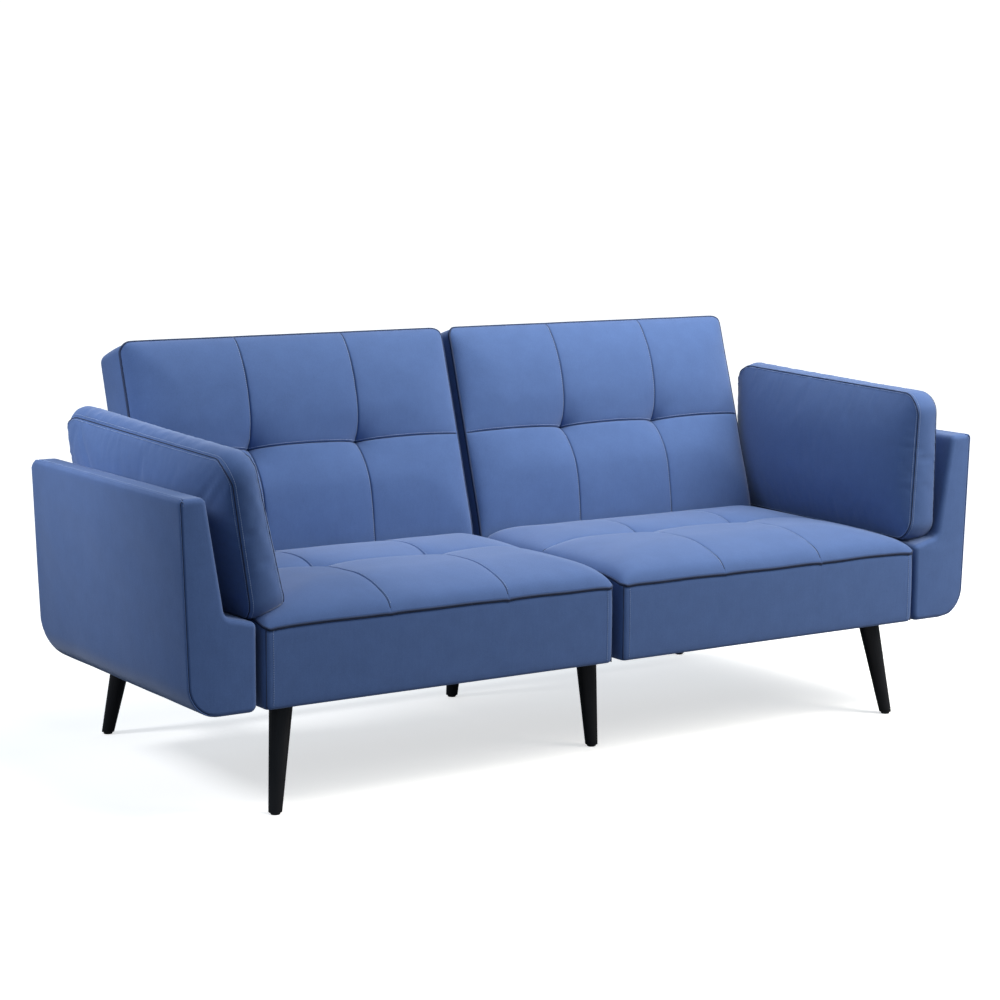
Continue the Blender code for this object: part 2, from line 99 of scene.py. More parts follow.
# Backs
RECLINE = radians(17.36)
FACE = 0.1000  # from the hinge line to the front face's edge
BACK_DEPTH = 0.1238
BACK_FOOT = -0.0720
BACK_TOP = 0.5688
BACK_REAR_FOOT = -0.0300
BACK_HALF_WIDTH = 0.8209
BACK_HALF_GAP = 0.0124
BACK_CORNER = 0.022
BACK_CROSS_SEAM = 0.315
BACK_CROWN = 0.036
BACK_CROWN_AT = -FACE - BACK_CROWN
BACK_INNER_DROP = BACK_CROWN - 0.008  # from the crown back to the piping beside the gap
BACK_OUTER_DROP = {"left": 0.047, "right": 0.032}  # the same at the outer edge
BACK_SEAM_START = BACK_FOOT + 0.05
BACK_TUFTS = [(0.026, 0.038), (0.007, 0.009)]
BACK_VALLEY = (0.012, 0.055)
BACK_SEAMS = {"left": (0.276, 0.549), "right": (0.294, 0.566)}

# Arms
ARM_TOP_WIDTH = 0.0578
ARM_FOOT_OUTER = 1.0137
ARM_STEP = (0.9326, 0.4140)
ARM_BLOCK_Z = 0.3980
ARM_SEAM_IN = 0.0105  # from the outer face in to the seam along the arm's top

# Arm pillows
# Each one's foot from the middle of the sofa and above the floor, its height, and its angles:
# lean towards the arm, turn in plan, climb to the rear
PILLOW_POSES = {
    "left": (0.8478, 0.4114, 0.334, radians(12.35), radians(3.7), radians(2.4)),
    "right": (0.8936, 0.4152, 0.346, radians(0.25), radians(-0.6), radians(1.35)),
}
PILLOW_BULGE = {"left": {"outer": 0.016, "inner": 0.034}, "right": {"outer": 0.010, "inner": 0.046}}
PILLOW_OVERHANG = {"left": 0.026, "right": 0.0}  # how far its upper outer side swells over the arm
PILLOW_ROUND = {"left": 0.0110, "right": 0.0045}  # how far its band swells between the seams
PILLOW_BAND = {"left": (0.080, 0.053), "right": (0.072, 0.054)}  # width at the foot and at the top
PILLOW_LENGTH = 0.643
PILLOW_GRID = 0.0080
PILLOW_CORNER = 0.048
PILLOW_REAR_LEAN = radians(4)
PILLOW_WEDGE = 0.006  # how much taller the rear end is
PILLOW_FRONT = FRONT + 0.022


# ---------------------------------------------------------------- materials


def new_material(name, base, roughness, metallic=0.0):
    material = bpy.data.materials.new(name)
    material.use_nodes = True
    shader = material.node_tree.nodes["Principled BSDF"]
    shader.inputs["Base Color"].default_value = (*base, 1)
    shader.inputs["Roughness"].default_value = roughness
    shader.inputs["Metallic"].default_value = metallic
    return material, material.node_tree, shader


def add_node(tree, kind, **values):
    node = tree.nodes.new(kind)
    for key, value in values.items():
        if key in node.inputs:
            node.inputs[key].default_value = value
        else:
            setattr(node, key, value)
    return node


def noise_node(tree, scale, detail=3.0, rough=0.55, stretch=(1, 1, 1)):
    place = add_node(tree, "ShaderNodeTexCoord")
    mapping = add_node(tree, "ShaderNodeMapping")
    mapping.inputs["Scale"].default_value = stretch
    noise = add_node(tree, "ShaderNodeTexNoise", Scale=scale, Detail=detail, Roughness=rough)
    tree.links.new(place.outputs["Object"], mapping.inputs["Vector"])
    tree.links.new(mapping.outputs["Vector"], noise.inputs["Vector"])
    return noise


def ramp(tree, source, stops):
    node = add_node(tree, "ShaderNodeValToRGB")
    while len(node.color_ramp.elements) < len(stops):
        node.color_ramp.elements.new(0.5)
    for element, (position, colour) in zip(node.color_ramp.elements, stops):
        element.position = position
        element.color = (*colour, 1)
    tree.links.new(source, node.inputs["Fac"])
    return node


def tint(colour, factor):
    return tuple(c * factor for c in colour)


def mix_colours(tree, a, b, share, blend="MULTIPLY"):
    node = tree.nodes.new("ShaderNodeMix")
    node.data_type = "RGBA"
    node.blend_type = blend
    node.inputs["Factor"].default_value = share
    tree.links.new(a, node.inputs["A"])
    tree.links.new(b, node.inputs["B"])
    return node.outputs["Result"]


def add_bump(tree, shader, layers):
    """Chains bump nodes: layers is a list of (height socket, strength, distance)."""
    previous = None
    for height, strength, distance in layers:
        bump = add_node(tree, "ShaderNodeBump", Strength=strength, Distance=distance)
        tree.links.new(height, bump.inputs["Height"])
        if previous:
            tree.links.new(previous, bump.inputs["Normal"])
        previous = bump.outputs["Normal"]
    tree.links.new(previous, shader.inputs["Normal"])


def fabric(name, base, nap=1.0):
    """Suede-like woven polyester: mottled pile, a faint nap across the cloth and a soft sheen."""
    material, tree, shader = new_material(name, base, 0.86)
    grain = noise_node(tree, 620, detail=4, rough=0.7)
    cloud = noise_node(tree, 26, detail=5, rough=0.6)
    streak = noise_node(tree, 90, detail=3, stretch=(3.5, 3.5, 0.35))
    speck = ramp(tree, grain.outputs["Fac"], [(0.30, (0.80, 0.80, 0.80)), (0.70, (1.0, 1.0, 1.0))])
    patch = ramp(tree, cloud.outputs["Fac"], [(0.30, (0.90, 0.90, 0.90)), (0.72, (1.0, 1.0, 1.0))])
    brushed = ramp(tree, streak.outputs["Fac"], [(0.35, (0.93, 0.94, 0.96)), (0.65, (1.0, 1.0, 1.0))])
    base_node = add_node(tree, "ShaderNodeRGB")
    base_node.outputs[0].default_value = (*tint(base, 1.10), 1)
    colour = mix_colours(tree, base_node.outputs[0], speck.outputs["Color"], 1.0)
    colour = mix_colours(tree, colour, patch.outputs["Color"], nap)
    colour = mix_colours(tree, colour, brushed.outputs["Color"], 0.8 * nap)
    tree.links.new(colour, shader.inputs["Base Color"])
    add_bump(tree, shader, [
        (grain.outputs["Fac"], 0.30, 0.0006),
        (cloud.outputs["Fac"], 0.12, 0.0030),
    ])
    shader.inputs["Specular IOR Level"].default_value = 0.25
    shader.inputs["Sheen Weight"].default_value = 0.38
    shader.inputs["Sheen Roughness"].default_value = 0.45
    shader.inputs["Sheen Tint"].default_value = (0.72, 0.80, 1.0, 1)
    return material


def wood_grain(name, light, dark, roughness, scale, bump):
    material, tree, shader = new_material(name, light, roughness)
    grain = noise_node(tree, scale, detail=6, rough=0.6, stretch=(1.0, 0.12, 1.0))
    colour = ramp(tree, grain.outputs["Fac"], [(0.35, dark), (0.68, light)])
    tree.links.new(colour.outputs["Color"], shader.inputs["Base Color"])
    add_bump(tree, shader, [(grain.outputs["Fac"], bump, 0.0008)])
    return material


def painted_wood():
    material, tree, shader = new_material("black_wood", (0.006, 0.006, 0.008), 0.45)
    grain = noise_node(tree, 60, detail=5, stretch=(1.0, 1.0, 0.08))
    colour = ramp(tree, grain.outputs["Fac"], [(0.35, (0.004, 0.004, 0.006)), (0.70, (0.008, 0.008, 0.010))])
    tree.links.new(colour.outputs["Color"], shader.inputs["Base Color"])
    add_bump(tree, shader, [(grain.outputs["Fac"], 0.15, 0.0006)])
    shader.inputs["Specular IOR Level"].default_value = 0.30
    shader.inputs["Coat Weight"].default_value = 0.08
    shader.inputs["Coat Roughness"].default_value = 0.30
    return material


def speckled(name, base, roughness, metallic, scale, bump):
    """Powder coat, zinc plate or moulded plastic: one colour with a fine uneven surface."""
    material, tree, shader = new_material(name, base, roughness, metallic)
    grain = noise_node(tree, scale, detail=3)
    colour = ramp(tree, grain.outputs["Fac"], [(0.3, tint(base, 0.85)), (0.7, tint(base, 1.12))])
    tree.links.new(colour.outputs["Color"], shader.inputs["Base Color"])
    add_bump(tree, shader, [(grain.outputs["Fac"], bump, 0.0004)])
    return material


BLUE = (0.065, 0.123, 0.300)
UPHOLSTERY = fabric("upholstery", BLUE)
PILLOW_CLOTH = fabric("pillow_fabric", BLUE, nap=0.8)
# Much darker than the upholstery, so the piping and corner welts carry painted shade: the dark line of the crease
# beside them
PIPING_SHADE_CLOTH = speckled("piping", (0.020, 0.037, 0.095), 0.9, 0.0, 700, 0.3)
# Lighter than the cloth: real topstitching, and also a painted highlight of the fold beside each seam
THREAD_AND_HIGHLIGHT_BLUE = speckled("thread_and_highlight", (0.210, 0.290, 0.500), 0.6, 0.0, 900, 0.2)
SEAM_SHADE = speckled("seam_shade", (0.010, 0.017, 0.045), 0.9, 0.0, 700, 0.2)
FRAME_MATERIALS = {
    "black_wood": painted_wood(),
    "black_plastic": speckled("black_plastic", (0.015, 0.015, 0.016), 0.55, 0.0, 500, 0.2),
    "black_steel": speckled("black_steel", (0.020, 0.020, 0.022), 0.42, 0.0, 800, 0.25),
    "zinc_steel": speckled("zinc_steel", (0.55, 0.56, 0.58), 0.32, 1.0, 300, 0.1),
    "plywood": wood_grain("plywood", (0.48, 0.33, 0.18), (0.33, 0.21, 0.10), 0.7, 40, 0.3),
    "dust_cloth": speckled("dust_cloth", (0.022, 0.022, 0.024), 0.9, 0.0, 1200, 0.5),
    "upholstery": UPHOLSTERY,
    "pillow_fabric": PILLOW_CLOTH,
}


# ---------------------------------------------------------------- meshes, cords and stitches


def mesh_object(name, points, faces, material):
    """A smooth-shaded object with its faces turned outwards."""
    mesh = bpy.data.meshes.new(name)
    mesh.from_pydata(np.asarray(points, float).tolist(), [], [tuple(int(i) for i in f) for f in faces])
    mesh.materials.append(material)
    mesh.polygons.foreach_set("use_smooth", [True] * len(mesh.polygons))
    work = bmesh.new()
    work.from_mesh(mesh)
    bmesh.ops.recalc_face_normals(work, faces=work.faces)
    work.to_mesh(mesh)
    work.free()
    obj = bpy.data.objects.new(name, mesh)
    bpy.context.scene.collection.objects.link(obj)
    return obj


def lines(start, end, seams=(), step=GRID_STEP, edges=EDGE_LINES):
    """Grid lines from start to end, close together at the ends and beside each seam."""
    count = max(2, round((end - start) / step))
    values = [start + (end - start) * k / count for k in range(count + 1)]
    special = [start + e for e in edges] + [end - e for e in edges]
    special += [seam + side * e for seam in seams for e in SEAM_LINES for side in (-1, 1)]
    special = sorted(set(round(v, 6) for v in special))
    values = [v for v in values if min(abs(v - s) for s in special) > 0.0045]
    return np.array(sorted(values + special))


def round_corners(u, v, u_range, v_range, radii):
    """Moves the points of a rectangle's grid so that its corners are round.
    radii go round the corners: (u0, v0), (u1, v0), (u1, v1), (u0, v1)."""
    u, v = u.copy(), v.copy()
    corners = [(0, 0, radii[0]), (1, 0, radii[1]), (1, 1, radii[2]), (0, 1, radii[3])]
    for i, j, radius in corners:
        if radius <= 0:
            continue
        to_u, to_v = (-1, 1)[i], (-1, 1)[j]
        a = (u - (u_range[i] - to_u * radius)) * to_u
        b = (v - (v_range[j] - to_v * radius)) * to_v
        inside = (a > 0) & (b > 0)
        squeeze = np.where(inside, np.maximum(a, b) / np.maximum(np.hypot(a, b), 1e-9), 1.0)
        u = np.where(inside, u_range[i] - to_u * radius + to_u * a * squeeze, u)
        v = np.where(inside, v_range[j] - to_v * radius + to_v * b * squeeze, v)
    return u, v


def border(rows, columns):
    """The (row, column) pairs round a grid's edge."""
    loop = [(i, 0) for i in range(rows - 1)]
    loop += [(rows - 1, j) for j in range(columns - 1)]
    loop += [(i, columns - 1) for i in range(rows - 1, 0, -1)]
    loop += [(0, j) for j in range(columns - 1, 0, -1)]
    return np.array(loop)


def outward(u, v):
    """Unit normals, in the plane, of a closed loop that runs anticlockwise."""
    du = np.roll(u, -1) - np.roll(u, 1)
    dv = np.roll(v, -1) - np.roll(v, 1)
    size = np.hypot(du, dv)
    return dv / size, -du / size


def boxed(us, vs, radii, top, sides, bottom=None):
    """Points and faces of a boxed cushion.
    top(u, v, U, V) gives the upper panel, where u, v are grid places and U, V the same with round corners.
    sides is a list of functions of (U, V, normal u, normal v) that give the rings down the boxing.
    bottom(U, V), if given, closes it. The third value returned is the upper panel's edge."""
    grid_u, grid_v = np.meshgrid(us, vs, indexing="ij")
    round_u, round_v = round_corners(grid_u, grid_v, (us[0], us[-1]), (vs[0], vs[-1]), radii)
    rows, columns = grid_u.shape
    loop = border(rows, columns)
    edge_u, edge_v = round_u[loop[:, 0], loop[:, 1]], round_v[loop[:, 0], loop[:, 1]]
    normal_u, normal_v = outward(edge_u, edge_v)
    upper = top(grid_u, grid_v, round_u, round_v)
    points = [upper.reshape(-1, 3)]
    cell = np.arange(rows * columns).reshape(rows, columns)
    quads = [np.stack([cell[:-1, :-1], cell[1:, :-1], cell[1:, 1:], cell[:-1, 1:]], -1).reshape(-1, 4)]
    ring = cell[loop[:, 0], loop[:, 1]]
    total = rows * columns
    for side in sides:
        points.append(side(edge_u, edge_v, normal_u, normal_v))
        following = np.arange(total, total + len(loop))
        quads.append(np.stack([ring, following, np.roll(following, -1), np.roll(ring, -1)], -1))
        ring, total = following, total + len(loop)
    if bottom is not None:
        lower = bottom(round_u, round_v)
        points.append(lower.reshape(-1, 3))
        quads.append(np.stack([
            cell[:-1, :-1], cell[:-1, 1:], cell[1:, 1:], cell[1:, :-1]], -1).reshape(-1, 4) + total)
        following = cell[loop[:, 0], loop[:, 1]] + total
        quads.append(np.stack([ring, following, np.roll(following, -1), np.roll(ring, -1)], -1))
    return np.concatenate(points), np.concatenate(quads), upper[loop[:, 0], loop[:, 1]]


def resample(path, step, closed=False):
    """The path's points at even distances."""
    path = np.asarray(path, float)
    if closed:
        path = np.vstack([path, path[:1]])
    along = np.concatenate([[0], np.cumsum(np.linalg.norm(np.diff(path, axis=0), axis=1))])
    count = max(2, int(along[-1] / step))
    at = np.linspace(0, along[-1], count + 1)
    if closed:
        at = at[:-1]
    return np.stack([np.interp(at, along, path[:, k]) for k in range(3)], axis=1)


def tangents(path, closed):
    if closed:
        delta = np.roll(path, -1, axis=0) - np.roll(path, 1, axis=0)
    else:
        delta = np.gradient(path, axis=0)
    return delta / np.maximum(np.linalg.norm(delta, axis=1, keepdims=True), 1e-12)


def tube(name, path, radius, material, across, closed=False, sides=8, step=0.008):
    """A cord along a path. across is a direction that the path never runs along."""
    path = resample(path, step, closed)
    along = tangents(path, closed)
    first = np.cross(along, np.asarray(across, float))
    first /= np.linalg.norm(first, axis=1, keepdims=True)
    second = np.cross(along, first)
    angles = np.arange(sides) * 2 * pi / sides
    rings = path[:, None] + radius * (
        np.cos(angles)[None, :, None] * first[:, None] + np.sin(angles)[None, :, None] * second[:, None])
    count = len(path)
    cell = np.arange(count * sides).reshape(count, sides)
    following = np.roll(cell, -1, axis=0) if closed else cell[1:]
    current = cell if closed else cell[:-1]
    faces = np.stack([
        current, np.roll(current, -1, axis=1), np.roll(following, -1, axis=1), following], -1).reshape(-1, 4)
    faces = [tuple(f) for f in faces]
    if not closed:
        faces += [tuple(cell[0][::-1]), tuple(cell[-1])]
    return mesh_object(name, rings.reshape(-1, 3), faces, material)


def tree_of(obj):
    """A search tree of the object's faces."""
    mesh = obj.data
    return BVHTree.FromPolygons([v.co for v in mesh.vertices], [tuple(p.vertices) for p in mesh.polygons])


def laid_on(path, tree, step, closed=False):
    """The path's points moved to the surface, and the surface's normals there."""
    places, normals = [], []
    for point in resample(path, step, closed):
        place, normal, _, _ = tree.find_nearest(Vector(point))
        places.append(place)
        normals.append(normal)
    return np.array(places), np.array(normals)


def attach(piece, body):
    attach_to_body(piece, body)


def stitches(name, paths, surface, body, closed=False):
    """Rows of thread stitches that lie on a surface along the paths. The thread is much lighter than the cloth:
    real topstitching, and also a painted highlight beside each seam.
    """
    tree = tree_of(surface)
    ring = 6
    angles = np.arange(ring) * 2 * pi / ring
    profile = [(-0.5, 0.25), (-0.36, 1.0), (0.36, 1.0), (0.5, 0.25)]
    shape = np.array([(a * STITCH_LENGTH, r * THREAD * cos(t), r * THREAD * sin(t))
                      for a, r in profile for t in angles])
    faces = [tuple(range(ring))[::-1], tuple(range(3 * ring, 4 * ring))]
    faces += [(k * ring + i, k * ring + (i + 1) % ring, (k + 1) * ring + (i + 1) % ring, (k + 1) * ring + i)
              for k in range(3) for i in range(ring)]
    points, polygons = [], []
    for path in paths:
        places, normals = laid_on(path, tree, STITCH_PITCH, closed)
        along = tangents(places, closed)
        normals = normals - along * (normals * along).sum(1, keepdims=True)
        normals /= np.maximum(np.linalg.norm(normals, axis=1, keepdims=True), 1e-9)
        beside = np.cross(along, normals)
        for place, a, b, c in zip(places + normals * THREAD * 0.35, along, beside, normals):
            start = len(points) * len(shape)
            points.append(place + shape @ np.array([a, b, c]))
            polygons += [tuple(i + start for i in f) for f in faces]
    attach(mesh_object(name, np.concatenate(points), polygons, THREAD_AND_HIGHLIGHT_BLUE), body)


def painted_seam_shade(name, path, across, body, closed=False, radius=SHADE_LINE_RADIUS):
    """Painted shade along a seam: a dark cord sunk in the groove where two panels meet."""
    attach(tube(name, path, radius, SEAM_SHADE, across, closed=closed, sides=6, step=CORD_STEP), body)


def edge_cord(edge, inward):
    """The middle of a panel's piping: the panel's edge, moved in along inward and out to the sides."""
    cord = edge + inward * PIPING_DEPTH
    away = cord - cord.mean(axis=0)
    away -= np.outer(away @ inward, inward)
    return cord + away / np.linalg.norm(away, axis=1, keepdims=True) * PIPING_OUT


def open_run(loop, keep):
    """The part of a closed loop where keep is true, as an open path that starts after the gap."""
    start = np.flatnonzero(keep & ~np.roll(keep, 1))[0]
    return np.roll(loop, -start, axis=0)[np.roll(keep, -start)]


def smooth_step(t):
    t = np.clip(t, 0, 1)
    return t * t * (3 - 2 * t)


def waves(u, v, length, seed):
    """A smooth uneven field of about unit size, made of a few plane waves."""
    random = np.random.default_rng(seed)
    total = np.zeros(np.broadcast(u, v).shape)
    for angle, phase, stretch in zip(
            random.uniform(0, pi, 6), random.uniform(0, 2 * pi, 6), random.uniform(0.7, 1.5, 6)):
        total += np.sin((u * cos(angle) + v * sin(angle)) * 2 * pi / (length * stretch) + phase)
    return total / 3


def seam_profile(distance, pucker=0.0):
    """How far the cloth sinks beside a seam."""
    distance = np.abs(distance)
    return 0.0028 * np.exp(-((distance / 0.0013) ** 2)) + (0.0018 + pucker) * np.exp(-distance / 0.009)


def tuft(u, v, place, depth, reach):
    """A blind tuft: a cone-like dimple, longer along the seams than across the panels."""
    du, dv = np.abs(u - place[0]), np.abs(v - place[1])
    distance = (du**1.5 + dv**1.5) ** (1 / 1.5)
    return depth * np.exp(-distance / reach)


def fall_off(distance, roll, roll_reach, slope, slope_reach, power):
    """How far a cushion's face falls near its edge: a tight roll at the edge and a wide slope before it."""
    return roll * np.exp(-distance / roll_reach) + slope * np.clip(1 - distance / slope_reach, 0, 1) ** power


def smooth_max(*drops):
    return sum(d**4 for d in drops) ** 0.25


def sewn_in(total, u, v, seams, cross_seam, tufts, valley, edge_drop, seed):
    """Adds the seams, the hollow along the cross seam and the tufts to how far a face falls.
    They fade out where the face has fallen by edge_drop."""
    away = np.clip(total / edge_drop, 0, 1)
    ripple = 0.0004 * waves(u, v, 0.035, seed)
    across = v - cross_seam
    total = total + seam_profile(across, 0.004 + ripple) * (1 - away) ** 0.5
    total = total + valley[0] * np.exp(-((across / valley[1]) ** 2)) * (1 - away)
    for seam in seams:
        total = total + seam_profile(u - seam, 0.0012 + ripple) * (1 - 0.6 * away)
        for depth, reach in tufts:
            total = total + tuft(u, v, (seam, cross_seam), depth, reach)
    return total


# ---------------------------------------------------------------- seats


def seat_drop(x, y, side):
    """How far the seat's top lies under its crown. x is from the sofa's middle, y from the front edge."""
    edge = SEAT_CROWN_Z - SEAT_EDGE_Z - BOXING_START - 0.021 * (1 - np.exp(-y / 0.10))
    total = smooth_max(
        fall_off(y, 0.020, 0.008, 0.042, 0.16, 2),
        fall_off(SEAT_DEPTH - y, 0.026, 0.004, 0.018, 0.15, 2),
        edge * fall_off(x - SEAT_LOW.x, 0.25, 0.008, 0.75, 0.15, 2),
        edge * fall_off(SEAT_HIGH.x - x, 0.15, 0.008, 0.85, 0.21, 1.6),
    )
    total = sewn_in(
        total, x, y, SEAT_SEAMS[side], SEAT_CROSS_SEAM, SEAT_TUFTS, SEAT_VALLEY, edge_drop=0.030, seed=5)
    return total + 0.0007 * waves(x, y, 0.16, 3 if side == "left" else 4)


def seat_height(x, y, side):
    return SEAT_CROWN_Z - seat_drop(np.abs(x), y - FRONT, side)


def seat_place(side, x, y, z):
    return np.stack([SIDES[side] * x, FRONT + y, z], -1)


def seat_face(side, x, y, lift=0.0):
    """A place on a seat's top, with x and y as for seat_drop."""
    return seat_place(side, x, y, SEAT_CROWN_Z - seat_drop(x, y, side) + lift)


def seat_cover(side):
    """A tufted top panel, a boxing strip down to the frame and a turned-in lower edge."""
    us = lines(SEAT_LOW.x, SEAT_HIGH.x, SEAT_SEAMS[side])
    vs = lines(0.0, SEAT_DEPTH, (SEAT_CROSS_SEAM,))
    lean_z, lean_in = np.array(SEAT_REAR_LEAN).T

    def top(u, v, round_u, round_v):
        return seat_face(side, round_u, round_v)

    def ring(share, out):
        """A ring of the boxing: share 0 is at the piping, 1 at the lower edge."""
        def place(u, v, nu, nv):
            edge = SEAT_CROWN_Z - seat_drop(u, v, side) - BOXING_START
            z = edge + (SEAT_SKIRT_Z - edge) * share
            bulge = out + 0.0004 * waves(u + v, z, 0.09, 11) * sin(pi * share)
            lean = np.interp(z, lean_z, lean_in) * np.clip(v / SEAT_DEPTH, 0, 1) ** 8
            return seat_place(side, u + nu * bulge, v + nv * bulge - lean, z)
        return place

    # Each ring of the boxing: (how far down, how far out)
    levels = [(0.0, -0.0016), (0.008, -0.0034), (0.022, -0.0016), (0.05, -0.0004)]
    levels += [(share, -0.0004 + 0.0012 * sin(pi * share)) for share in (0.1, 0.2, 0.35, 0.5, 0.65, 0.8, 0.9)]
    levels += [(0.955, -0.0008), (0.985, -0.0022), (1.0, -0.0060), (0.998, -0.0240)]
    points, faces, edge = boxed(
        us, vs, (SEAT_CORNER, SEAT_CORNER, 0.006, 0.006), top, [ring(*level) for level in levels])
    seat = mesh_object(f"seat_cover_{side}", points, faces, UPHOLSTERY)
    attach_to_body(seat, "base")
    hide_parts(f"seat_cushion_{side}")
    return seat, edge


def seat_seams(side, edge):
    """The piping along the top edge, a dark cord of painted shade under it, and dark cords of painted shade along
    the seams on top.
    """
    down = np.array([0, 0, -1])
    cord = edge_cord(edge, down)
    cord = open_run(cord, cord[:, 1] < FRONT + SEAT_DEPTH - SEAT_SEAM_END)
    attach(tube(f"seat_piping_{side}", cord, SEAT_PIPING, PIPING_SHADE_CLOTH, (0, 0, 1), step=CORD_STEP), "base")
    shade = cord + down * (SEAT_PIPING + SHADE_GAP)
    painted_seam_shade(f"seat_shade_{side}", shade, (0, 0, 1), "base", radius=SEAT_SHADE)
    ys = np.linspace(0.004, SEAT_DEPTH - SEAT_SEAM_END, 100)
    for number, seam in enumerate(SEAT_SEAMS[side], 1):
        path = seat_face(side, np.full_like(ys, seam), ys, SEAM_LIFT)
        painted_seam_shade(f"seat_seam_shade_{side}_{number}", path, (1, 0, 0), "base")
    xs = np.linspace(SEAT_LOW.x + 0.004, SEAT_HIGH.x - 0.004, 160)
    path = seat_face(side, xs, np.full_like(xs, SEAT_CROSS_SEAM), SEAM_LIFT)
    painted_seam_shade(f"seat_seam_shade_{side}_cross", path, (0, 1, 0), "base")


def seat_stitches(side, seat):
    """Stitches beside each seam and down the boxing beside its front corners."""
    ys = np.linspace(0.010, SEAT_DEPTH - SEAT_SEAM_END, 80)
    rows = [seat_face(side, np.full_like(ys, seam - STITCH_SIDE), ys) for seam in SEAT_SEAMS[side]]
    xs = np.linspace(SEAT_LOW.x + 0.010, SEAT_HIGH.x - 0.010, 120)
    rows.append(seat_face(side, xs, np.full_like(xs, SEAT_CROSS_SEAM - STITCH_SIDE)))
    zs = np.linspace(SEAT_SKIRT_Z + 0.0096, SEAT_EDGE_Z - 0.012, 40)
    for x in (SEAT_LOW.x + SEAT_CORNER + 0.004, SEAT_HIGH.x - SEAT_CORNER - 0.004):
        rows.append(seat_place(side, np.full_like(zs, x), np.zeros_like(zs), zs))
    stitches(f"seat_stitching_{side}", rows, seat, "base")


def seat_welts(side):
    """The welts down the boxing's front corners, in the dark piping cloth that paints shade along them."""
    inset = SEAT_CORNER * (1 - cos(pi / 4)) + 0.0002
    zs = np.linspace(SEAT_SKIRT_Z + 0.002, SEAT_EDGE_Z - 0.004, 40)
    for end, x in (("inner", SEAT_LOW.x + inset), ("outer", SEAT_HIGH.x - inset)):
        path = seat_place(side, np.full_like(zs, x), np.full_like(zs, inset), zs)
        attach(tube(f"seat_corner_{side}_{end}", path, CORNER_WELT, PIPING_SHADE_CLOTH, (1, 0, 0)), "base")


def build_seat(side):
    seat, edge = seat_cover(side)
    seat_seams(side, edge)
    seat_stitches(side, seat)
    seat_welts(side)


# ---------------------------------------------------------------- backs


def back_drop(x, s, side):
    """How far the back's face lies behind its crown. x is from the sofa's middle, s up the slope."""
    total = smooth_max(
        BACK_CROWN * fall_off(BACK_TOP - s, 0.22, 0.008, 0.78, 0.13, 2.2),
        fall_off(s - BACK_FOOT, 0.022, 0.016, 0.070, 0.30, 1.5),
        BACK_INNER_DROP * fall_off(x - BACK_HALF_GAP, 0.25, 0.007, 0.75, 0.13, 2.3),
        BACK_OUTER_DROP[side] * fall_off(BACK_HALF_WIDTH - x, 0.25, 0.007, 0.75, 0.13, 2.3),
    )
    total = sewn_in(
        total, x, s, BACK_SEAMS[side], BACK_CROSS_SEAM, BACK_TUFTS, BACK_VALLEY, edge_drop=0.026, seed=6)
    return total + 0.0006 * waves(x, s, 0.15, 7 if side == "left" else 8)


def back_place(side, x, distance, s):
    """A point of a back, from its distance behind the hinge line and its height up the slope."""
    x, distance, s = np.broadcast_arrays(x, distance, s)
    return np.stack([
        SIDES[side] * x,
        HINGE_Y + distance * cos(RECLINE) + s * sin(RECLINE),
        HINGE_Z - distance * sin(RECLINE) + s * cos(RECLINE),
    ], -1)


def seam_bow(x, side):
    """The cross seam is drawn up a little between its tufts."""
    stops = [BACK_HALF_GAP, *BACK_SEAMS[side], BACK_HALF_WIDTH]
    total = np.zeros_like(x)
    for a, b in zip(stops, stops[1:]):
        inside = (x > a) & (x <= b)
        total = np.where(inside, 0.0025 * np.sin(pi * (x - a) / (b - a)), total)
    return total


def back_face(side, x, s, lift=0.0, rise=0.0):
    """A place on a back's face, with x and s as for back_drop. rise then moves it up the slope."""
    return back_place(side, x, BACK_CROWN_AT + back_drop(x, s, side) - lift, s + rise)


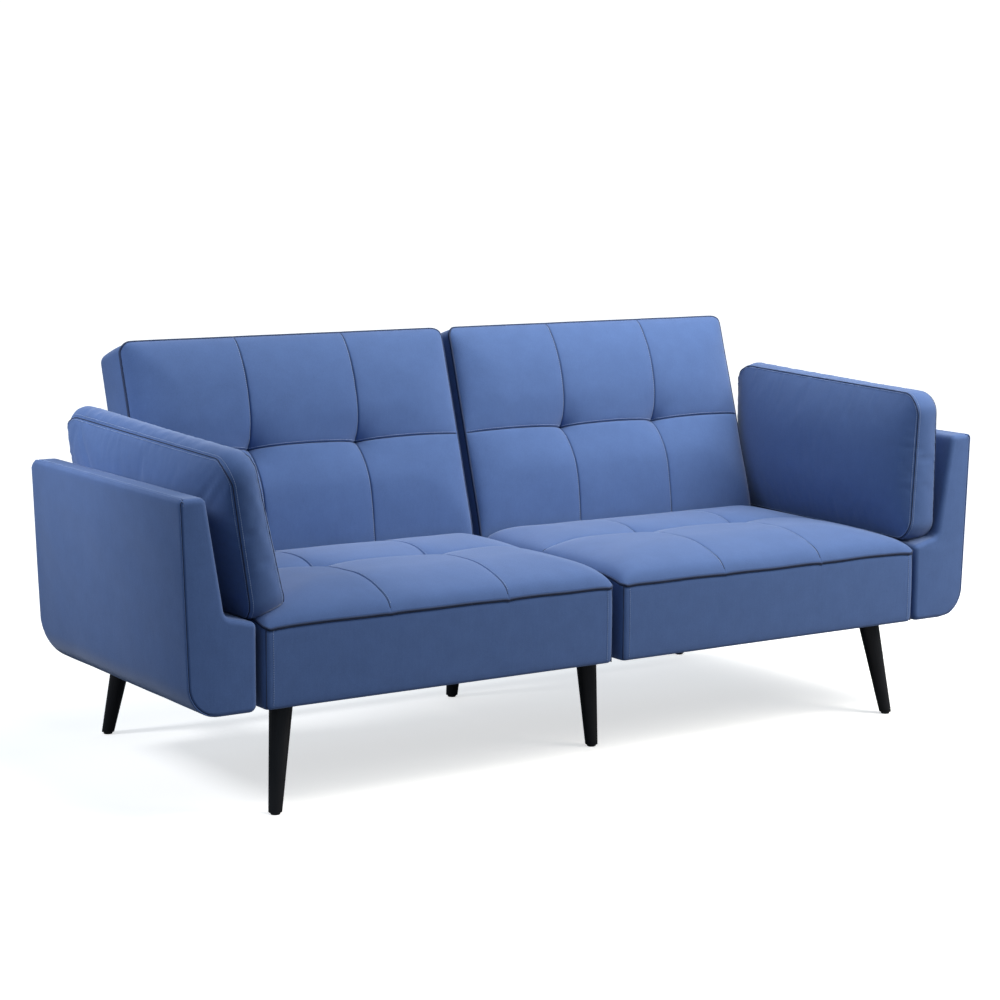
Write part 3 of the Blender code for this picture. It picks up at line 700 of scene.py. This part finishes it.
def back_cover(side):
    """A tufted face, boxing all round and a plain rear panel, in one closed piece."""
    us = lines(BACK_HALF_GAP, BACK_HALF_WIDTH, BACK_SEAMS[side])
    vs = lines(BACK_FOOT, BACK_TOP, (BACK_CROSS_SEAM,))
    rear_at = BACK_DEPTH - FACE
    knee = 0.070  # the lower end is level until this far before the hinge line

    def drawn(v, distance):
        """The height v with the lower end raised towards the rear."""
        share = np.clip((distance + knee) / (rear_at + knee), 0, 1)
        low = BACK_FOOT + (BACK_REAR_FOOT - BACK_FOOT) * share
        return BACK_TOP - (BACK_TOP - v) * (BACK_TOP - low) / (BACK_TOP - BACK_FOOT)

    def top(u, v, round_u, round_v):
        reach = np.exp(-(((v - BACK_CROSS_SEAM) / 0.07) ** 2))
        return back_face(side, round_u, round_v, rise=seam_bow(round_u, side) * reach)

    def ring(share, out):
        """A ring of the boxing: share 0 is at the piping, 1 at the rear panel."""
        def place(u, v, nu, nv):
            edge = BACK_CROWN_AT + back_drop(u, v, side) + BOXING_START
            distance = edge + (rear_at - edge) * share
            bulge = out + 0.0004 * waves(u + v, distance, 0.08, 12) * sin(pi * share)
            return back_place(side, u + nu * bulge, distance, drawn(v, distance) + nv * bulge)
        return place

    def rear(u, v):
        inset = 0.004
        gap_u = np.minimum(u - BACK_HALF_GAP, BACK_HALF_WIDTH - u)
        gap = np.minimum(gap_u, np.minimum(v - BACK_FOOT, BACK_TOP - v))
        sag = 0.0020 * smooth_step(gap / 0.10) + 0.0006 * waves(u, v, 0.2, 9) * smooth_step(gap / 0.05)
        distance = rear_at - sag
        inset_u = u + np.clip(0.5 * (BACK_HALF_GAP + BACK_HALF_WIDTH) - u, -inset, inset)
        inset_v = v + np.clip(0.5 * (BACK_FOOT + BACK_TOP) - v, -inset, inset)
        return back_place(side, inset_u, distance, drawn(inset_v, distance))

    # Each ring of the boxing: (how far to the rear, how far out)
    levels = [(0.0, -0.0016), (0.010, -0.0034), (0.03, -0.0016), (0.07, -0.0004)]
    levels += [(share, -0.0004 + 0.0018 * sin(pi * share)) for share in (0.15, 0.3, 0.45, 0.6, 0.75, 0.87)]
    levels += [(0.945, -0.0006), (0.985, -0.0022)]
    radii = (0.010, 0.010, BACK_CORNER, BACK_CORNER)
    points, faces, edge = boxed(us, vs, radii, top, [ring(*level) for level in levels], rear)
    back = mesh_object(f"back_shell_{side}", points, faces, UPHOLSTERY)
    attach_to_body(back, f"back_{side}")
    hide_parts(f"back_cushion_{side}", f"back_cover_{side}")
    return back, edge


def back_seams(side, edge):
    """The piping round the face, a dark cord of painted shade behind it, and dark cords of painted shade along the
    seams on the face.
    """
    body = f"back_{side}"
    rearward = np.array([0, cos(RECLINE), -sin(RECLINE)])
    cord = edge_cord(edge, rearward)
    piping = tube(
        f"back_piping_{side}", cord, BACK_PIPING, PIPING_SHADE_CLOTH, rearward, closed=True, step=CORD_STEP)
    attach(piping, body)
    shade = cord + rearward * (BACK_PIPING + SHADE_GAP)
    painted_seam_shade(f"back_shade_{side}", shade, rearward, body, closed=True, radius=BACK_SHADE)
    ss = np.linspace(BACK_SEAM_START, BACK_TOP - 0.003, 110)
    for number, seam in enumerate(BACK_SEAMS[side], 1):
        path = back_face(side, np.full_like(ss, seam), ss, SEAM_LIFT)
        painted_seam_shade(f"back_seam_shade_{side}_{number}", path, (1, 0, 0), body)
    xs = np.linspace(BACK_HALF_GAP + 0.003, BACK_HALF_WIDTH - 0.003, 160)
    path = back_face(side, xs, np.full_like(xs, BACK_CROSS_SEAM), SEAM_LIFT, rise=seam_bow(xs, side))
    painted_seam_shade(f"back_seam_shade_{side}_cross", path, (0, 0, 1), body)


def back_stitches(side, back):
    """Stitches beside each seam, all on the same side of it, and above the cross seam: their light thread is also
    a painted highlight along that side.
    """
    ss = np.linspace(BACK_SEAM_START, BACK_TOP - 0.008, 90)
    beside = SIDES[side] * STITCH_SIDE
    rows = [back_face(side, np.full_like(ss, seam - beside), ss) for seam in BACK_SEAMS[side]]
    xs = np.linspace(BACK_HALF_GAP + 0.008, BACK_HALF_WIDTH - 0.008, 120)
    rows.append(back_face(side, xs, np.full_like(xs, BACK_CROSS_SEAM + STITCH_SIDE) + seam_bow(xs, side)))
    stitches(f"back_stitching_{side}", rows, back, f"back_{side}")


def build_back(side):
    back, edge = back_cover(side)
    back_seams(side, edge)
    back_stitches(side, back)


# ---------------------------------------------------------------- arms


def rounded_outline(corners, step):
    """A closed outline from (x, z, radius) corners, with points along its straight runs and arcs."""
    arc_step = 0.004
    count = len(corners)
    ends = []
    for k, (x, z, radius) in enumerate(corners):
        here = np.array([x, z])
        before = np.array(corners[k - 1][:2]) - here
        after = np.array(corners[(k + 1) % count][:2]) - here
        before, after = before / np.linalg.norm(before), after / np.linalg.norm(after)
        half = np.arccos(np.clip(before @ after, -1, 1)) / 2
        reach = radius / tan(half)
        centre = here + (before + after) / np.linalg.norm(before + after) * radius / sin(half)
        ends.append((here + before * reach, here + after * reach, centre, radius))
    points = []
    for k, (start, finish, centre, radius) in enumerate(ends):
        first = np.arctan2(*(start - centre)[::-1])
        turn = np.arctan2(*(finish - centre)[::-1]) - first
        turn = (turn + pi) % (2 * pi) - pi
        steps = max(3, int(abs(turn) * radius / arc_step))
        for j in range(steps + 1):
            angle = first + turn * j / steps
            points.append(centre + radius * np.array([cos(angle), sin(angle)]))
        run_to = ends[(k + 1) % count][0]
        pieces = max(1, int(np.linalg.norm(run_to - finish) / step))
        points += [finish + (run_to - finish) * j / pieces for j in range(1, pieces)]
    return np.array(points)


def arm_outline(seam_x):
    """The arm seen from the front, with more points beside the seam along its top."""
    corners = [
        (ARM_LOW.x, ARM_LOW.z, 0.015),
        (ARM_FOOT_OUTER, ARM_LOW.z, 0.070),
        (ARM_HIGH.x, ARM_HIGH.z, 0.009),
        (ARM_HIGH.x - ARM_TOP_WIDTH, ARM_HIGH.z, 0.014),
        (*ARM_STEP, 0.020),
        (ARM_LOW.x, ARM_BLOCK_Z, 0.013),
    ]
    outline = rounded_outline(corners, 0.010)
    top_z = ARM_HIGH.z - 0.0005
    near = [p for p in outline if not (p[1] > top_z and abs(p[0] - seam_x) < 0.006)]
    place = next(k for k, p in enumerate(near) if p[1] > top_z and p[0] < seam_x)
    beside = (0.0050, 0.0024, 0.0011, 0.0, -0.0011, -0.0024, -0.0050)
    extra = [np.array([seam_x + distance, ARM_HIGH.z]) for distance in beside]
    return np.array(near[:place] + extra + near[place:])


def build_arm(side):
    """A leaning panel on a block. The panel's outer face is framed by a seam."""
    seam_x = ARM_HIGH.x - ARM_SEAM_IN
    outline = arm_outline(seam_x)
    x, z = outline[:, 0], outline[:, 1]
    nx, nz = outward(x, z)
    groove = 0.0022 * np.exp(-(((x - seam_x) / 0.0012) ** 2)) * (z > ARM_HIGH.z - 0.001)
    low, high = ARM_LOW.y, ARM_HIGH.y
    foot_radius, crown_radius = 0.045, 0.020
    bend_z = 0.60  # the rear's upper corner is rounded above this height
    seamed = smooth_step((nx - 0.15) / 0.35)  # the outer panel's edge has a seam, the others are soft

    def rounding(y, radius):
        return radius - np.sqrt(radius**2 - np.clip(y - (high - radius), 0, radius) ** 2)

    def section(y, inset):
        """The outline at one place from front to rear. The rear corners of its side view are round."""
        y = np.broadcast_to(y, x.shape)
        share_low = np.clip((ARM_BLOCK_Z - z) / (ARM_BLOCK_Z - ARM_LOW.z), 0, 1)
        share_high = np.clip((z - bend_z) / (ARM_HIGH.z - bend_z), 0, 1)
        middle = smooth_step((z - ARM_LOW.z) / 0.10) * smooth_step((ARM_HIGH.z - z) / 0.10)
        from_end = np.minimum(y - low, high - y)
        puff = 0.0030 * middle * smooth_step(from_end / 0.10) * (nx > 0.5)
        sunk = inset + groove * (from_end > 0.004)
        px = x - nx * (sunk - puff)
        pz = z - nz * sunk + rounding(y, foot_radius) * share_low - rounding(y, crown_radius) * share_high
        px = px + 0.0005 * waves(y, z, 0.14, 21) * (from_end > 0.013)
        return np.stack([SIDES[side] * px, y, pz], -1)

    # Rings from the end face to the sides: (how far from the end, how far inside the outline)
    hard = [(0.0, 0.0085), (0.0003, 0.0068), (0.0010, 0.0054), (0.0034, 0.0042), (0.0034, 0.0036),
            (0.0010, 0.0024), (0.0008, 0.0012), (0.0022, 0.0002), (0.0080, 0.0)]
    soft_radius = 0.0118
    ends = []
    for k, (y, inset) in enumerate(hard):
        angle = pi / 2 * k / (len(hard) - 1)
        soft_y, soft_inset = soft_radius * (1 - cos(angle)), soft_radius * (1 - sin(angle))
        ends.append((soft_y + (y - soft_y) * seamed, soft_inset + (inset - soft_inset) * seamed))
    rings = [section(low + y, inset) for y, inset in ends]
    rings += [section(y, 0.0) for y in np.linspace(low + 0.014, high - 0.046, 30)]
    rings += [section(high - 0.045 * (1 - sin(t)), 0.0) for t in np.linspace(0.1, 0.80, 8)]
    rings += [section(high - y, inset) for y, inset in reversed(ends)]
    count = len(outline)
    points = np.concatenate(rings)
    cell = np.arange(len(rings) * count).reshape(len(rings), count)
    ahead, behind = cell[:-1], cell[1:]
    quads = [ahead, behind, np.roll(behind, -1, axis=1), np.roll(ahead, -1, axis=1)]
    faces = np.stack(quads, -1).reshape(-1, 4)
    cap = tessellate_polygon([[Vector((a, b, 0)) for a, _, b in rings[0]]])
    faces = [tuple(f) for f in faces] + [tuple(end[i] for i in f) for end in (cell[0], cell[-1]) for f in cap]
    arm = mesh_object(f"arm_cover_{side}", points, faces, UPHOLSTERY)
    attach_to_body(arm, "base")
    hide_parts(f"arm_{side}")

    # The seams along the arm's top and round its outer panel: dark cords of painted shade, then a row of light
    # stitches
    ys = np.linspace(low + 0.006, high - 0.020, 70)
    seam = np.stack([np.full_like(ys, SIDES[side] * seam_x), ys, np.full_like(ys, ARM_HIGH.z - 0.0019)], -1)
    painted_seam_shade(f"arm_seam_shade_{side}_top", seam, (1, 0, 0), "base")
    outer_edge = nx > 0.30
    for name, end_y in (("front", low + 0.0030), ("rear", high - 0.0030)):
        painted_seam_shade(f"arm_seam_shade_{side}_{name}", section(end_y, 0.0039)[outer_edge], (0, 1, 0), "base")
    ys = np.linspace(low + 0.010, high - 0.030, 60)
    row_x = SIDES[side] * (ARM_HIGH.x - 0.0138)
    row = np.stack([np.full_like(ys, row_x), ys, np.full_like(ys, ARM_HIGH.z)], -1)
    stitches(f"arm_stitching_{side}", [row], arm, "base")


# ---------------------------------------------------------------- pillows


def pillow_matrix(side):
    sign = SIDES[side]
    foot_x, foot_z, height, lean, turn, climb = PILLOW_POSES[side]
    place = Vector((
        sign * (foot_x + height / 2 * sin(lean)),
        PILLOW_FRONT + PILLOW_LENGTH / 2,
        foot_z + height / 2 * cos(lean),
    ))
    tilt = Matrix.Rotation(sign * lean, 4, "Y") @ Matrix.Rotation(climb, 4, "X")
    return Matrix.Translation(place) @ Matrix.Rotation(-sign * turn, 4, "Z") @ tilt


def inflate(obj, pins, pressure, slack, frames, reach):
    """Puffs cloth up with air, then keeps each point within reach of where it began."""
    mesh = obj.data
    start = np.array([v.co[:] for v in mesh.vertices])
    group = obj.vertex_groups.new(name="pinned")
    for index, weight in pins.items():
        group.add([int(index)], weight, "REPLACE")
    cloth = obj.modifiers.new("cloth", "CLOTH")
    settings = cloth.settings
    settings.quality = 6
    settings.mass = 0.15
    settings.tension_stiffness = settings.compression_stiffness = 12
    settings.shear_stiffness = 4
    settings.bending_stiffness = 0.25
    settings.use_pressure = True
    settings.uniform_pressure_force = pressure
    settings.shrink_min = -slack
    settings.vertex_group_mass = "pinned"
    settings.pin_stiffness = 4
    settings.effector_weights.gravity = 0
    cloth.collision_settings.use_collision = False
    cloth.point_cache.frame_start = 1
    cloth.point_cache.frame_end = frames + 1
    scene = bpy.context.scene
    for step in range(1, frames + 1):
        scene.frame_set(step)
    graph = bpy.context.evaluated_depsgraph_get()
    moved = np.array([v.co[:] for v in obj.evaluated_get(graph).to_mesh().vertices])
    obj.evaluated_get(graph).to_mesh_clear()
    obj.modifiers.remove(cloth)
    scene.frame_set(1)
    shift = moved - start
    size = np.linalg.norm(shift, axis=1, keepdims=True)
    shift *= np.minimum(1, reach / np.maximum(size, 1e-9))
    mesh.vertices.foreach_set("co", (start + shift).ravel())
    mesh.update()
    obj.vertex_groups.clear()


def settle(mesh, side):
    """Rests a pillow's lower side on the seat and on the arm's block. Returns its points."""
    at = np.array([v.co[:] for v in mesh.vertices])
    out = at[:, 0] * SIDES[side]
    on_seat = seat_height(at[:, 0], at[:, 1], side) + 0.0012
    rest = np.where(out < SEAT_HIGH.x, on_seat, ARM_BLOCK_Z + 0.003)
    rest = np.where(out > ARM_STEP[0] - 0.01, 0.0, rest)
    at[:, 2] = np.where(at[:, 2] < rest, rest, at[:, 2])
    mesh.vertices.foreach_set("co", at.ravel())
    mesh.update()
    return at


def build_pillow(side):
    """A loose box pillow: two panels and a band, blown up as cloth round its two seams."""
    height = PILLOW_POSES[side][2]
    half_length, half_height = PILLOW_LENGTH / 2, height / 2
    us = lines(-half_length, half_length, step=PILLOW_GRID)
    vs = lines(-half_height, half_height, step=PILLOW_GRID)
    band_low, band_top = PILLOW_BAND[side]
    seed = 31 if side == "left" else 41

    def half_band(v):
        return 0.5 * (band_low + (band_top - band_low) * (v + half_height) / height)

    def local(c, u, v):
        rearward = (u + half_length) / PILLOW_LENGTH
        raised = v + PILLOW_WEDGE * (rearward - 0.5) * (v + half_height) / height
        return np.stack([SIDES[side] * c, u + rearward * v * tan(PILLOW_REAR_LEAN), raised], -1)

    def crown(u, v):
        a = np.clip(1 - np.abs(u / half_length) ** 4, 0, 1)
        b = np.clip(1 - np.abs(v / half_height) ** 2.1, 0, 1)
        return a**0.55 * b**0.75

    def puckers(u, v, pitch, number):
        """Short creases that run in from the seams, stronger towards the rear and the top."""
        from_end = half_length - np.abs(u)
        from_side = half_height - np.abs(v)
        strength = 0.45 + 0.55 * smooth_step((u / half_length + v / half_height) / 1.2)
        across_side = np.sin(2 * pi * u / pitch + 1.5 * waves(u, v, 0.05, seed + number))
        across_end = np.sin(2 * pi * v / pitch + 1.5 * waves(v, u, 0.05, seed + number + 1))
        creases = across_side * np.exp(-from_side / 0.020) + across_end * np.exp(-from_end / 0.024)
        rise = smooth_step(np.minimum(from_end, from_side) / 0.006)
        return 0.0024 * strength * creases * rise * (0.6 + 0.4 * waves(u, v, 0.09, seed + number + 2))

    start = 0.80  # the panels' share of their bulge before they are blown up
    bulge = PILLOW_BULGE[side]

    def inner(u, v, round_u, round_v):
        lift = start * bulge["inner"] * crown(round_u, round_v) + puckers(round_u, round_v, 0.017, 0)
        return local(-half_band(round_v) - lift, round_u, round_v)

    def outer(u, v):
        """The panel towards the arm, with one slanting fold near its rear and the swell over the arm."""
        fold = 0.005 * np.exp(-(((u - half_length + 0.060 + 0.25 * (v - half_height)) / 0.007) ** 2))
        fold = fold * smooth_step((v / half_height - 0.1) / 0.5) * smooth_step((half_height - v) / 0.02)
        swell = PILLOW_OVERHANG[side] * smooth_step((v / half_height + 0.55) / 1.15)
        swell = swell * np.clip(1 - np.abs(v / half_height) ** 4, 0, 1) ** 0.6
        swell = swell * np.clip(1 - np.abs(u / half_length) ** 6, 0, 1) ** 0.6
        lift = start * bulge["outer"] * crown(u, v) + swell + puckers(u, v, 0.015, 3) - fold
        return local(half_band(v) + lift, u, v)

    def ring(share):
        def place(u, v, nu, nv):
            rearward = smooth_step((u / half_length + 0.3) / 1.2)
            crease = waves(u, v, 0.018, seed + 7) * (0.25 + 0.75 * rearward) * sin(pi * share)
            out = PILLOW_ROUND[side] * (1 + 0.5 * rearward) * sin(pi * share) ** 0.6 + 0.0016 * crease
            return local((2 * share - 1) * half_band(v), u + nu * out, v + nv * out)
        return place

    shares = (0.02, 0.06, 0.14, 0.26, 0.38, 0.5, 0.62, 0.74, 0.86, 0.94, 0.98)
    radii = (PILLOW_CORNER,) * 4
    points, faces, _ = boxed(us, vs, radii, inner, [ring(share) for share in shares], outer)
    pillow = mesh_object(f"pillow_{side}", points, faces, PILLOW_CLOTH)
    rows, columns = len(us), len(vs)
    panel = rows * columns
    loop = border(rows, columns)
    far_start = panel + len(shares) * len(loop)
    edge = loop[:, 0] * columns + loop[:, 1]
    pins = {int(i): 0.85 for i in (*edge, *(edge + far_start))}
    inflate(pillow, pins, pressure=3.0, slack=0.004, frames=14, reach=0.010)
    pillow.data.transform(pillow_matrix(side))
    at = settle(pillow.data, side)
    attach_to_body(pillow, f"pillow_{side}")
    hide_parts(f"arm_pillow_{side}")

    near = at[:panel].reshape(rows, columns, 3)
    far = at[far_start:far_start + panel].reshape(rows, columns, 3)
    # A dark cord of painted shade along each seam, with light stitches on both sides of it
    threads = []
    for name, sheet, band_ring in (("inner", near, 2), ("outer", far, len(shares) - 3)):
        edge = sheet[loop[:, 0], loop[:, 1]]
        inside = sheet[np.clip(loop[:, 0], 3, rows - 4), np.clip(loop[:, 1], 3, columns - 4)]
        ring_start = panel + band_ring * len(loop)
        on_band = at[ring_start:ring_start + len(loop)]
        threads += [edge + (inside - edge) * 0.45, edge + (on_band - edge) * 0.55]
        painted_seam_shade(
            f"pillow_seam_shade_{side}_{name}", edge, (1, 0, 0), f"pillow_{side}",
            closed=True, radius=PILLOW_SHADE_LINE_RADIUS)
    stitches(f"pillow_stitching_{side}", threads, pillow, f"pillow_{side}", closed=True)


# ---------------------------------------------------------------- surroundings


def build_camera():
    yaw, pitch, roll = radians(33.7286), radians(-8.2445), radians(0.3316)
    place = (-3.0439, -4.5452, 1.3230)
    ahead = Vector((sin(yaw) * cos(pitch), cos(yaw) * cos(pitch), sin(pitch)))
    right = Vector((cos(yaw), -sin(yaw), 0))
    up = right.cross(ahead)
    right, up = right * cos(roll) + up * sin(roll), up * cos(roll) - right * sin(roll)
    data = bpy.data.cameras.new("camera")
    data.lens = 87.66
    data.sensor_width = 36
    data.shift_x, data.shift_y = -0.0060, -0.0040
    camera = bpy.data.objects.new("camera", data)
    camera.matrix_world = Matrix.Translation(place) @ Matrix((right, up, -ahead)).transposed().to_4x4()
    bpy.context.scene.collection.objects.link(camera)
    bpy.context.scene.camera = camera


def aim(light, place, target):
    light.rotation_euler = (Vector(target) - Vector(place)).to_track_quat("-Z", "Y").to_euler()


def area_light(name, place, target, size, power, colour=(1, 1, 1), spread=180):
    data = bpy.data.lights.new(name, "AREA")
    data.shape = "RECTANGLE"
    data.size, data.size_y = size
    data.energy = power
    data.color = colour
    data.spread = radians(spread)
    light = bpy.data.objects.new(name, data)
    light.location = place
    aim(light, place, target)
    light.visible_camera = False
    bpy.context.scene.collection.objects.link(light)


def seen_and_lit(tree, seen, lit):
    """Mixes what the camera sees directly with what lights the scene."""
    rays = tree.nodes.new("ShaderNodeLightPath")
    mix = tree.nodes.new("ShaderNodeMixShader")
    tree.links.new(rays.outputs["Is Camera Ray"], mix.inputs[0])
    tree.links.new(lit, mix.inputs[1])
    tree.links.new(seen, mix.inputs[2])
    return mix.outputs[0]


def build_floor():
    material, tree, shader = new_material("floor", (0.80, 0.80, 0.80), 0.9)
    shader.inputs["Emission Color"].default_value = (1, 1, 1, 1)
    shader.inputs["Emission Strength"].default_value = 0.62
    dull = add_node(tree, "ShaderNodeBsdfDiffuse", Color=(0.20, 0.20, 0.21, 1))
    surface = seen_and_lit(tree, shader.outputs[0], dull.outputs[0])
    tree.links.new(surface, tree.nodes["Material Output"].inputs["Surface"])
    half = 14.0
    corners = [(-half, -half, 0), (half, -half, 0), (half, half, 0), (-half, half, 0)]
    floor = mesh_object("floor", corners, [(0, 1, 2, 3)], material)


def build_world():
    world = bpy.data.worlds.new("studio")
    world.use_nodes = True
    tree = world.node_tree
    seen = tree.nodes["Background"]
    seen.inputs["Color"].default_value = (1, 1, 1, 1)
    seen.inputs["Strength"].default_value = 1.05
    glow = add_node(tree, "ShaderNodeBackground", Color=(0.68, 0.84, 1.0, 1), Strength=0.40)
    surface = seen_and_lit(tree, seen.outputs[0], glow.outputs[0])
    tree.links.new(surface, tree.nodes["World Output"].inputs["Surface"])
    bpy.context.scene.world = world


def build_lights():
    warm = (1.0, 0.95, 0.86)
    data = bpy.data.lights.new("sun", "SUN")
    data.energy = 1.3
    data.color = warm
    data.angle = radians(28)
    sun = bpy.data.objects.new("sun", data)
    aim(sun, (0.5, -0.6, 1.6), (0, 0, 0))
    bpy.context.scene.collection.objects.link(sun)
    area_light("key", (2.0, -1.8, 2.0), (0.5, 0.1, 0.6), (1.4, 1.4), 64, warm)
    area_light("boom", (0.60, -0.24, 1.85), (0.50, 0.25, 0.65), (1.4, 0.4), 18, warm)
    area_light("left", (-2.30, 0.45, 1.80), (-0.92, 0.10, 0.64), (0.4, 0.6), 2.6, spread=45)


# ---------------------------------------------------------------- assembly

for side in SIDES:
    build_seat(side)
    build_back(side)
    build_arm(side)
    build_pillow(side)

slots = {part["node"]: part["material_slot"] for part in frame["record"]["subparts"]}
for name, node in frame["nodes"].items():
    node.data.materials.clear()
    node.data.materials.append(FRAME_MATERIALS[slots[name]])

build_floor()
build_world()
build_lights()
build_camera()
bpy.context.scene.view_settings.view_transform = "Standard"
